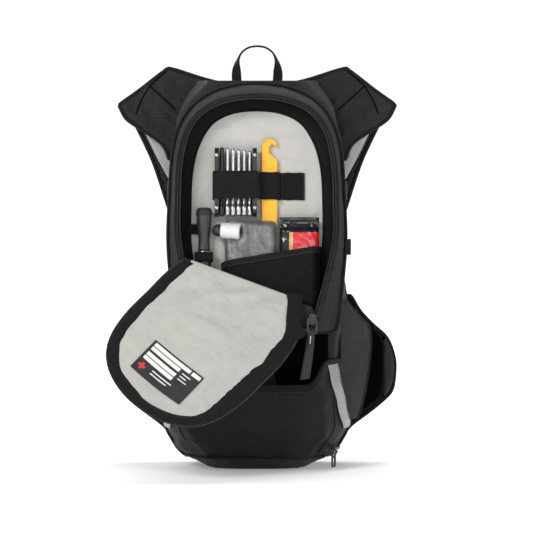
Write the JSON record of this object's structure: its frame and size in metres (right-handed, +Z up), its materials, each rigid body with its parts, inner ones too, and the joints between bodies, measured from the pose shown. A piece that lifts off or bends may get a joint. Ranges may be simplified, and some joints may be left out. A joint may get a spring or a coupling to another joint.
{
  "type": "hydration pack",
  "caption": "Small hydration backpack with a diagonal fold-down organiser flap, tools in elastic loops, stash pocket, harness straps and a grab loop.",
  "frame": {"origin": "middle of the flat base on the floor, in the plane of symmetry", "axes": "+Z up towards the grab loop, -Y out of the organiser side, +Y towards the wearer, +X to the right seen from the front"},
  "size_m": [0.309, 0.2649, 0.455],
  "materials": {
    "black_fabric": "ripstop weave",
    "smooth_fabric": "plain weave, slightly shiny",
    "lining_fabric": "light plain weave",
    "binding_tape": "ribbed tape",
    "mesh": "open mesh",
    "webbing": "ribbed webbing",
    "foam": "spacer mesh over foam",
    "reflective": "reflective film",
    "zip": "coil",
    "black_plastic": "moulded",
    "clear_film": "translucent film",
    "steel": "satin",
    "black_metal": "black oxide",
    "orange_plastic": "moulded",
    "pouch_fabric": "silver grey coated",
    "red_film": "printed film without text",
    "label": "printed cloth without text",
    "white_plastic": "moulded",
    "rubber": "moulded"
  },
  "bodies": {
    "pack": {"back_panel": "foam", "back_spacer_pads": "foam", "base_panel": "smooth_fabric", "base_zip_coil": "zip", "compartment_front_panel": "smooth_fabric", "compartment_side_panels": "black_fabric", "frame_sheet": "white_plastic", "harness_webbing": "webbing", "hip_wings": "foam", "inner_mesh_pocket": "mesh", "lower_reflectors": "reflective", "organiser_front_band": "black_fabric", "organiser_gusset": "black_fabric", "organiser_inner_binding": "binding_tape", "organiser_lining": "lining_fabric", "organiser_lower_panel": "black_fabric", "organiser_piping": "binding_tape", "organiser_zip_coil": "zip", "panel_edge_binding": "binding_tape", "pocket_bindings": "binding_tape", "pump_loop": "webbing", "reservoir_bladder": "clear_film", "reservoir_port": "black_plastic", "reservoir_slide_closure": "black_plastic", "shoulder_yoke": "foam", "side_mesh_pockets": "mesh", "side_tag": "webbing", "stash_pocket": "smooth_fabric", "tool_band": "webbing", "tube_pouch": "pouch_fabric", "tube_valve_cap": "white_plastic", "webbing_anchors": "webbing"},
    "flap": {"flap_panel": "black_fabric", "flap_lining": "lining_fabric", "flap_rim_binding": "binding_tape", "flap_zip_coil": "zip", "label_card": "label"},
    "main_slider": {"main_zip_slider": "black_metal"},
    "main_pull": {"main_zip_pull_ring": "steel", "main_zip_pull_tab": "rubber"},
    "base_slider": {"base_zip_slider": "black_metal"},
    "base_pull": {"base_zip_pull": "steel"},
    "harness": {"harness_strap_pads": "foam", "harness_strap_binding": "binding_tape", "upper_reflectors": "reflective", "ladder_locks": "black_plastic", "chest_strap_keepers": "webbing", "chest_webbing_right": "webbing", "chest_buckle_socket": "black_plastic"},
    "chest_plug": {"chest_buckle_plug": "black_plastic", "chest_webbing_left": "webbing"},
    "grab_loop": {"grab_loop": "webbing"},
    "multi_tool": {"multi_tool_plates": "black_metal", "multi_tool_axles": "steel", "multi_tool_bits": "steel"},
    "tyre_lever": {"tyre_lever": "orange_plastic"},
    "mini_pump": {"pump_barrel": "black_plastic", "pump_head": "black_plastic", "pump_handle": "rubber"},
    "snack_bar": {"energy_bar": "red_film"}
  },
  "joints": [
    {"name": "flap_fold", "type": "hinge", "parent": "pack", "child": "flap", "pos_m": [-0.084, -0.07959, 0.231], "axis": [0.9381, -0.0558, -0.3417], "range_deg": [-156, 0]},
    {"name": "main_slider_travel", "type": "slide", "parent": "pack", "child": "main_slider", "axis": [0.2531, 0.1559, 0.9548], "range_m": [0, 0.068]},
    {"name": "main_pull_swing", "type": "hinge", "parent": "main_slider", "child": "main_pull", "pos_m": [0.05842, -0.09552, 0.16419], "axis": [-1, 0, 0], "range_deg": [0, 90]},
    {"name": "base_slider_travel", "type": "slide", "parent": "pack", "child": "base_slider", "axis": [0.3347, 0.9423, 0], "range_m": [0, 0.026]},
    {"name": "base_pull_swing", "type": "hinge", "parent": "base_slider", "child": "base_pull", "pos_m": [0.08188, -0.05587, 0.01858], "axis": [-0.3347, -0.9423, 0], "range_deg": [0, 80]},
    {"name": "harness_swing", "type": "hinge", "parent": "pack", "child": "harness", "pos_m": [0, 0.0541, 0.4265], "axis": [1, 0, 0], "range_deg": [0, 30]},
    {"name": "chest_buckle_release", "type": "slide", "parent": "harness", "child": "chest_plug", "axis": [-1, 0, 0], "range_m": [0, 0.025]},
    {"name": "grab_loop_fold", "type": "hinge", "parent": "pack", "child": "grab_loop", "pos_m": [0, 0.05, 0.4], "axis": [-1, 0, 0], "range_deg": [0, 80]},
    {"name": "multi_tool_lift", "type": "slide", "parent": "pack", "child": "multi_tool", "axis": [0, 0.1352, 0.9908], "range_m": [0, 0.03]},
    {"name": "tyre_lever_lift", "type": "slide", "parent": "pack", "child": "tyre_lever", "axis": [0, 0.1352, 0.9908], "range_m": [0, 0.03]},
    {"name": "pump_lift", "type": "slide", "parent": "pack", "child": "mini_pump", "axis": [0, 0.1352, 0.9908], "range_m": [0, 0.04]},
    {"name": "snack_bar_lift", "type": "slide", "parent": "pack", "child": "snack_bar", "axis": [0, 0.1352, 0.9908], "range_m": [0, 0.04]}
  ]
}
